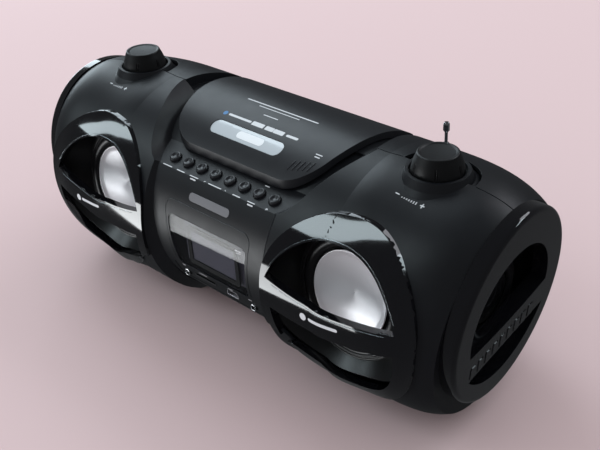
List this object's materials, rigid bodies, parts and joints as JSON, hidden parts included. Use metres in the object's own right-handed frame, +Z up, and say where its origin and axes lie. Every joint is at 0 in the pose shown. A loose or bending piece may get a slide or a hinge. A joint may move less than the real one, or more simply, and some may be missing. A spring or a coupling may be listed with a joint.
{
  "type": "portable cd radio",
  "caption": "Round-bodied portable CD radio: two speaker pods with passive radiators in the ends, top-loading disc lid, display, knobs, buttons and folding antenna.",
  "frame": {"origin": "on the surface it stands on, under the middle of its outline", "axes": "+X along the barrel to the player's right seen from the front, -Y to the front, +Z up"},
  "size_m": [0.4716, 0.1979, 0.202],
  "materials": {
    "shell_plastic": "fine satin texture",
    "lid_plastic": "fine satin texture",
    "gloss_black": "polished",
    "recess_black": "fine matt",
    "knob_rubber": "soft touch",
    "surround_rubber": "smooth rubber",
    "dish_aluminium": "spun",
    "steel": "plain",
    "chrome": "polished",
    "display_glass": "smoked",
    "window_silver": "clear over silver",
    "lcd": "liquid crystal",
    "circuit_board": "solder mask",
    "ferrite": "sintered",
    "contact_metal": "nickel plate"
  },
  "bodies": {
    "casing": {"front_shell": "shell_plastic", "rear_shell": "shell_plastic", "case_screws": "steel", "feet": "knob_rubber", "cd_deck": "recess_black", "lid_hinge_pins": "steel", "lid_catch": "recess_black", "spindle_motor": "steel", "sled_rail": "steel", "sled_motor": "steel", "button_board": "circuit_board", "knob_encoders": "steel", "driver_magnets": "ferrite", "display_window": "display_glass", "display_module": "lcd", "port_panel": "shell_plastic", "usb_socket": "steel", "card_slot": "recess_black", "jack_sockets": "recess_black", "battery_contacts": "contact_metal", "ac_inlet": "recess_black", "main_board": "circuit_board", "power_transformer": "ferrite", "antenna_base": "steel", "left_front_surround": "gloss_black", "left_horn": "recess_black", "left_driver_frame": "recess_black", "left_cone_surround": "surround_rubber", "left_end_bezel": "gloss_black", "left_radiator_surround": "surround_rubber", "right_front_surround": "gloss_black", "right_horn": "recess_black", "right_driver_frame": "recess_black", "right_cone_surround": "surround_rubber", "right_end_bezel": "gloss_black", "right_radiator_surround": "surround_rubber"},
    "lid": {"cd_lid": "lid_plastic", "lid_window": "window_silver"},
    "catch": {"catch_slider": "recess_black"},
    "turntable": {"disc_spindle": "recess_black"},
    "lead_screw": {"sled_screw": "steel"},
    "sled": {"laser_sled": "recess_black"},
    "button_1": {"button_1": "knob_rubber"},
    "button_2": {"button_2": "knob_rubber"},
    "button_3": {"button_3": "knob_rubber"},
    "button_4": {"button_4": "knob_rubber"},
    "button_5": {"button_5": "knob_rubber"},
    "button_6": {"button_6": "knob_rubber"},
    "button_7": {"button_7": "knob_rubber"},
    "button_8": {"button_8": "knob_rubber"},
    "volume": {"volume_knob": "knob_rubber"},
    "tuning": {"tuning_knob": "knob_rubber"},
    "left_speaker_cone": {"left_cone": "dish_aluminium"},
    "left_passive_radiator": {"left_radiator": "surround_rubber"},
    "right_speaker_cone": {"right_cone": "dish_aluminium"},
    "right_passive_radiator": {"right_radiator": "surround_rubber"},
    "battery_cover": {"battery_door": "shell_plastic"},
    "antenna_1": {"antenna_section_1": "chrome"},
    "antenna_2": {"antenna_section_2": "chrome"},
    "antenna_3": {"antenna_section_3": "chrome"}
  },
  "joints": [
    {"name": "lid_hinge", "type": "hinge", "parent": "casing", "child": "lid", "pos_m": [0, 0.0746, 0.1536], "axis": [-1, 0, 0], "range_deg": [0, 65]},
    {"name": "catch_slide", "type": "slide", "parent": "casing", "child": "catch", "axis": [0, 0, -1], "range_m": [0, 0.002], "stiffness_N_per_m": 150},
    {"name": "spindle_spin", "type": "hinge", "parent": "casing", "child": "turntable", "pos_m": [0, 0.012, 0.142], "axis": [0, 0, 1], "continuous": true},
    {"name": "lead_screw_spin", "type": "hinge", "parent": "casing", "child": "lead_screw", "pos_m": [0.0415, 0.029, 0.133], "axis": [1, 0, 0], "range_deg": [0, 3975]},
    {"name": "sled_travel", "type": "slide", "parent": "casing", "child": "sled", "axis": [1, 0, 0], "range_m": [0, 0.033]},
    {"name": "button_1_press", "type": "slide", "parent": "casing", "child": "button_1", "axis": [0, 0.309, -0.9511], "range_m": [0, 0.001], "stiffness_N_per_m": 250},
    {"name": "button_2_press", "type": "slide", "parent": "casing", "child": "button_2", "axis": [0, 0.309, -0.9511], "range_m": [0, 0.001], "stiffness_N_per_m": 250},
    {"name": "button_3_press", "type": "slide", "parent": "casing", "child": "button_3", "axis": [0, 0.309, -0.9511], "range_m": [0, 0.001], "stiffness_N_per_m": 250},
    {"name": "button_4_press", "type": "slide", "parent": "casing", "child": "button_4", "axis": [0, 0.309, -0.9511], "range_m": [0, 0.001], "stiffness_N_per_m": 250},
    {"name": "button_5_press", "type": "slide", "parent": "casing", "child": "button_5", "axis": [0, 0.309, -0.9511], "range_m": [0, 0.001], "stiffness_N_per_m": 250},
    {"name": "button_6_press", "type": "slide", "parent": "casing", "child": "button_6", "axis": [0, 0.309, -0.9511], "range_m": [0, 0.001], "stiffness_N_per_m": 250},
    {"name": "button_7_press", "type": "slide", "parent": "casing", "child": "button_7", "axis": [0, 0.309, -0.9511], "range_m": [0, 0.001], "stiffness_N_per_m": 250},
    {"name": "button_8_press", "type": "slide", "parent": "casing", "child": "button_8", "axis": [0, 0.309, -0.9511], "range_m": [0, 0.001], "stiffness_N_per_m": 250},
    {"name": "volume_turn", "type": "hinge", "parent": "casing", "child": "volume", "pos_m": [-0.162, -0.005, 0.19], "axis": [0, 0, 1], "continuous": true},
    {"name": "tuning_turn", "type": "hinge", "parent": "casing", "child": "tuning", "pos_m": [0.162, -0.005, 0.19], "axis": [0, 0, 1], "continuous": true},
    {"name": "left_cone_travel", "type": "slide", "parent": "casing", "child": "left_speaker_cone", "axis": [0, -0.9877, 0.1564], "range_m": [-0.002, 0.002], "stiffness_N_per_m": 900},
    {"name": "left_radiator_travel", "type": "slide", "parent": "casing", "child": "left_passive_radiator", "axis": [-0.9938, 0.0497, -0.0994], "range_m": [-0.002, 0.002], "stiffness_N_per_m": 500},
    {"name": "right_cone_travel", "type": "slide", "parent": "casing", "child": "right_speaker_cone", "axis": [0, -0.9877, 0.1564], "range_m": [-0.002, 0.002], "stiffness_N_per_m": 900},
    {"name": "right_radiator_travel", "type": "slide", "parent": "casing", "child": "right_passive_radiator", "axis": [0.9938, 0.0497, -0.0994], "range_m": [-0.002, 0.002], "stiffness_N_per_m": 500},
    {"name": "battery_door_hinge", "type": "hinge", "parent": "casing", "child": "battery_cover", "pos_m": [0, 0.0748, 0.0378], "axis": [-1, 0, 0], "range_deg": [0, 80]},
    {"name": "antenna_tilt", "type": "hinge", "parent": "casing", "child": "antenna_1", "pos_m": [0.111, 0.076, 0.044], "axis": [-1, 0, 0], "range_deg": [0, 90]},
    {"name": "antenna_extend_1", "type": "slide", "parent": "antenna_1", "child": "antenna_2", "axis": [0, 0, 1], "range_m": [0, 0.088]},
    {"name": "antenna_extend_2", "type": "slide", "parent": "antenna_2", "child": "antenna_3", "axis": [0, 0, 1], "range_m": [0, 0.088]}
  ],
  "couplings": [
    {"joint": "lead_screw_spin", "follows": "sled_travel", "rad_per_m": 2094.4}
  ]
}
